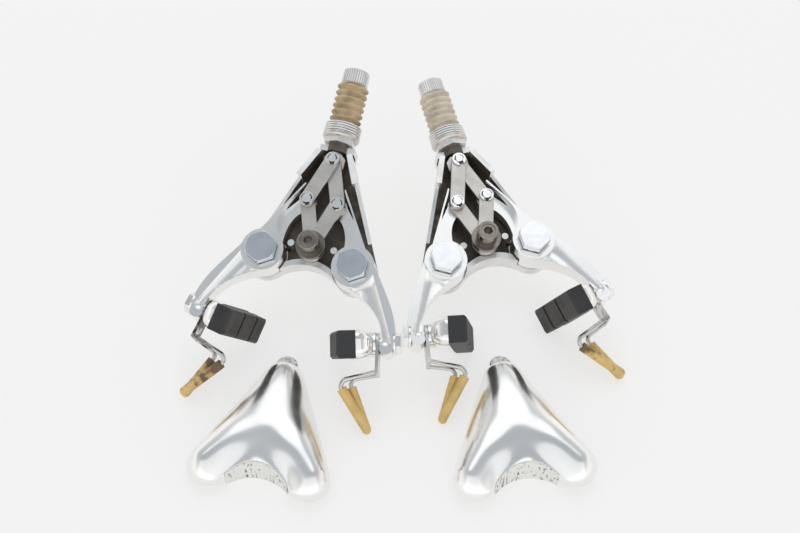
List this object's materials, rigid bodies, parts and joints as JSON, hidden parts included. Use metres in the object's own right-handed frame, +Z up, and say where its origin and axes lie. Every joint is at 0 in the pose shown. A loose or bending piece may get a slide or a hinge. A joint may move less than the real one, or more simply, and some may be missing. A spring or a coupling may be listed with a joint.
{
  "type": "pair of delta brake calipers",
  "caption": "Pair of delta brake calipers laid on a table with their domed covers taken off, showing link parallelograms, fluted arms, pads and wheel guides.",
  "frame": {"origin": "on the table, under the middle of the pair's bounding box", "axes": "+X to the right as in the picture, +Y away from the camera, +Z up"},
  "size_m": [0.185, 0.1926, 0.0672],
  "materials": {
    "polished_aluminium": "polished aluminium, mirror bright",
    "satin_aluminium": "satin to polished aluminium with light wear",
    "link_steel": "satin warm grey steel",
    "bright_steel": "bright plated steel",
    "dark_steel": "dark oiled steel",
    "pivot_steel": "blue-grey satin steel",
    "gaiter_rubber": "aged tan rubber",
    "gaiter_rubber_pale": "aged pale rubber",
    "amber_rubber": "amber rubber, worn",
    "pad_rubber": "charcoal rubber with a worn face"
  },
  "bodies": {
    "frame": {"front_body": "satin_aluminium", "front_cover": "polished_aluminium", "front_guide_collar": "bright_steel", "front_top_block": "bright_steel", "front_bellows": "gaiter_rubber", "front_return_springs": "dark_steel", "front_mounting_bolt": "bright_steel", "rear_body": "satin_aluminium", "rear_cover": "polished_aluminium", "rear_guide_collar": "bright_steel", "rear_top_block": "bright_steel", "rear_bellows": "gaiter_rubber_pale", "rear_return_springs": "dark_steel", "rear_mounting_bolt": "bright_steel", "pivot_bolts": "pivot_steel", "top_pins": "bright_steel"},
    "front_left_arm": {"front_left_arm": "polished_aluminium", "front_left_link_pin": "bright_steel", "front_left_pad_holder": "bright_steel", "front_left_brake_pad": "pad_rubber", "front_left_pad_nut": "bright_steel", "front_left_wheel_guide": "dark_steel", "front_left_guide_sleeve": "amber_rubber"},
    "front_right_arm": {"front_right_arm": "polished_aluminium", "front_right_link_pin": "bright_steel", "front_right_pad_holder": "bright_steel", "front_right_brake_pad": "pad_rubber", "front_right_pad_nut": "bright_steel", "front_right_wheel_guide": "dark_steel", "front_right_guide_sleeve": "amber_rubber"},
    "front_upper_left_link": {"front_upper_left_link": "link_steel"},
    "front_upper_right_link": {"front_upper_right_link": "link_steel"},
    "front_lower_left_link": {"front_lower_left_link": "link_steel"},
    "front_lower_right_link": {"front_lower_right_link": "link_steel"},
    "front_anchor": {"front_anchor_pin": "dark_steel", "front_anchor_bolt": "dark_steel"},
    "front_barrel": {"front_adjuster_barrel": "bright_steel"},
    "front_cap": {"front_adjuster_cap": "bright_steel"},
    "rear_left_arm": {"rear_left_arm": "polished_aluminium", "rear_left_link_pin": "bright_steel", "rear_left_pad_holder": "bright_steel", "rear_left_brake_pad": "pad_rubber", "rear_left_pad_nut": "bright_steel", "rear_left_wheel_guide": "dark_steel", "rear_left_guide_sleeve": "amber_rubber"},
    "rear_right_arm": {"rear_right_arm": "polished_aluminium", "rear_right_link_pin": "bright_steel", "rear_right_pad_holder": "bright_steel", "rear_right_brake_pad": "pad_rubber", "rear_right_pad_nut": "bright_steel", "rear_right_wheel_guide": "dark_steel", "rear_right_guide_sleeve": "amber_rubber"},
    "rear_upper_left_link": {"rear_upper_left_link": "link_steel"},
    "rear_upper_right_link": {"rear_upper_right_link": "link_steel"},
    "rear_lower_left_link": {"rear_lower_left_link": "link_steel"},
    "rear_lower_right_link": {"rear_lower_right_link": "link_steel"},
    "rear_anchor": {"rear_anchor_pin": "dark_steel", "rear_anchor_bolt": "dark_steel"},
    "rear_barrel": {"rear_adjuster_barrel": "bright_steel"},
    "rear_cap": {"rear_adjuster_cap": "bright_steel"}
  },
  "joints": [
    {"name": "front_left_arm_pivot", "type": "hinge", "parent": "frame", "child": "front_left_arm", "pos_m": [-0.05851, 0.00628, 0.03349], "axis": [-0.0876, -0.3622, 0.928], "range_deg": [0, 6], "stiffness_Nm_per_rad": 1, "springref_deg": -8.59},
    {"name": "front_right_arm_pivot", "type": "hinge", "parent": "frame", "child": "front_right_arm", "pos_m": [-0.0206, -0.00289, 0.03349], "axis": [-0.0876, -0.3622, 0.928], "range_deg": [-6, 0]},
    {"name": "front_upper_left_link_pivot", "type": "hinge", "parent": "frame", "child": "front_upper_left_link", "pos_m": [-0.02976, 0.0422, 0.05023], "axis": [-0.0876, -0.3622, 0.928], "range_deg": [-8.6, 0]},
    {"name": "front_upper_right_link_pivot", "type": "hinge", "parent": "frame", "child": "front_upper_right_link", "pos_m": [-0.02976, 0.0422, 0.05023], "axis": [-0.0876, -0.3622, 0.928], "range_deg": [0, 8.6]},
    {"name": "front_lower_left_link_pivot", "type": "hinge", "parent": "front_left_arm", "child": "front_lower_left_link", "pos_m": [-0.04041, 0.02624, 0.04299], "axis": [-0.0876, -0.3622, 0.928], "range_deg": [0, 2.1]},
    {"name": "front_lower_right_link_pivot", "type": "hinge", "parent": "front_right_arm", "child": "front_lower_right_link", "pos_m": [-0.02758, 0.02314, 0.04299], "axis": [-0.0876, -0.3622, 0.928], "range_deg": [-2.1, 0]},
    {"name": "front_anchor_slide", "type": "slide", "parent": "frame", "child": "front_anchor", "axis": [0.2182, 0.902, 0.3726], "range_m": [0, 0.0024]},
    {"name": "front_barrel_slide", "type": "slide", "parent": "frame", "child": "front_barrel", "axis": [0.2182, 0.902, 0.3726], "range_m": [-0.003, 0.003], "deforming": ["front_bellows"]},
    {"name": "front_cap_turn", "type": "hinge", "parent": "front_barrel", "child": "front_cap", "pos_m": [-0.02066, 0.07979, 0.06069], "axis": [0.2182, 0.902, 0.3726], "range_deg": [-1090, 1090]},
    {"name": "rear_left_arm_pivot", "type": "hinge", "parent": "frame", "child": "rear_left_arm", "pos_m": [0.01767, 0.00583, 0.02611], "axis": [0.0712, -0.2404, 0.968], "range_deg": [0, 6], "stiffness_Nm_per_rad": 1, "springref_deg": -8.59},
    {"name": "rear_right_arm_pivot", "type": "hinge", "parent": "frame", "child": "rear_right_arm", "pos_m": [0.05506, 0.0169, 0.02611], "axis": [0.0712, -0.2404, 0.968], "range_deg": [-6, 0]},
    {"name": "rear_upper_left_link_pivot", "type": "hinge", "parent": "frame", "child": "rear_upper_left_link", "pos_m": [0.02402, 0.05305, 0.03737], "axis": [0.0712, -0.2404, 0.968], "range_deg": [-8.6, 0]},
    {"name": "rear_upper_right_link_pivot", "type": "hinge", "parent": "frame", "child": "rear_upper_right_link", "pos_m": [0.02402, 0.05305, 0.03737], "axis": [0.0712, -0.2404, 0.968], "range_deg": [0, 8.6]},
    {"name": "rear_lower_left_link_pivot", "type": "hinge", "parent": "rear_left_arm", "child": "rear_lower_left_link", "pos_m": [0.02303, 0.03316, 0.03251], "axis": [0.0712, -0.2404, 0.968], "range_deg": [0, 2.1]},
    {"name": "rear_lower_right_link_pivot", "type": "hinge", "parent": "rear_right_arm", "child": "rear_lower_right_link", "pos_m": [0.03568, 0.03691, 0.03251], "axis": [0.0712, -0.2404, 0.968], "range_deg": [-2.1, 0]},
    {"name": "rear_anchor_slide", "type": "slide", "parent": "frame", "child": "rear_anchor", "axis": [-0.2749, 0.9282, 0.2508], "range_m": [0, 0.0024]},
    {"name": "rear_barrel_slide", "type": "slide", "parent": "frame", "child": "rear_barrel", "axis": [-0.2749, 0.9282, 0.2508], "range_m": [-0.003, 0.003], "deforming": ["rear_bellows"]},
    {"name": "rear_cap_turn", "type": "hinge", "parent": "rear_barrel", "child": "rear_cap", "pos_m": [0.01274, 0.09111, 0.0428], "axis": [-0.2749, 0.9282, 0.2508], "range_deg": [-1090, 1090]}
  ],
  "couplings": [
    {"joint": "front_right_arm_pivot", "follows": "front_left_arm_pivot", "ratio": -1},
    {"joint": "front_upper_left_link_pivot", "follows": "front_left_arm_pivot", "ratio": -1.3955},
    {"joint": "front_upper_right_link_pivot", "follows": "front_left_arm_pivot", "ratio": 1.3955},
    {"joint": "front_lower_left_link_pivot", "follows": "front_left_arm_pivot", "ratio": 0.3292},
    {"joint": "front_lower_right_link_pivot", "follows": "front_left_arm_pivot", "ratio": -0.3292},
    {"joint": "front_anchor_slide", "follows": "front_left_arm_pivot", "m_per_rad": 0.022032},
    {"joint": "front_cap_turn", "follows": "front_barrel_slide", "rad_per_m": 6283.2},
    {"joint": "rear_right_arm_pivot", "follows": "rear_left_arm_pivot", "ratio": -1},
    {"joint": "rear_upper_left_link_pivot", "follows": "rear_left_arm_pivot", "ratio": -1.3955},
    {"joint": "rear_upper_right_link_pivot", "follows": "rear_left_arm_pivot", "ratio": 1.3955},
    {"joint": "rear_lower_left_link_pivot", "follows": "rear_left_arm_pivot", "ratio": 0.3292},
    {"joint": "rear_lower_right_link_pivot", "follows": "rear_left_arm_pivot", "ratio": -0.3292},
    {"joint": "rear_anchor_slide", "follows": "rear_left_arm_pivot", "m_per_rad": 0.022032},
    {"joint": "rear_cap_turn", "follows": "rear_barrel_slide", "rad_per_m": 6283.2}
  ]
}
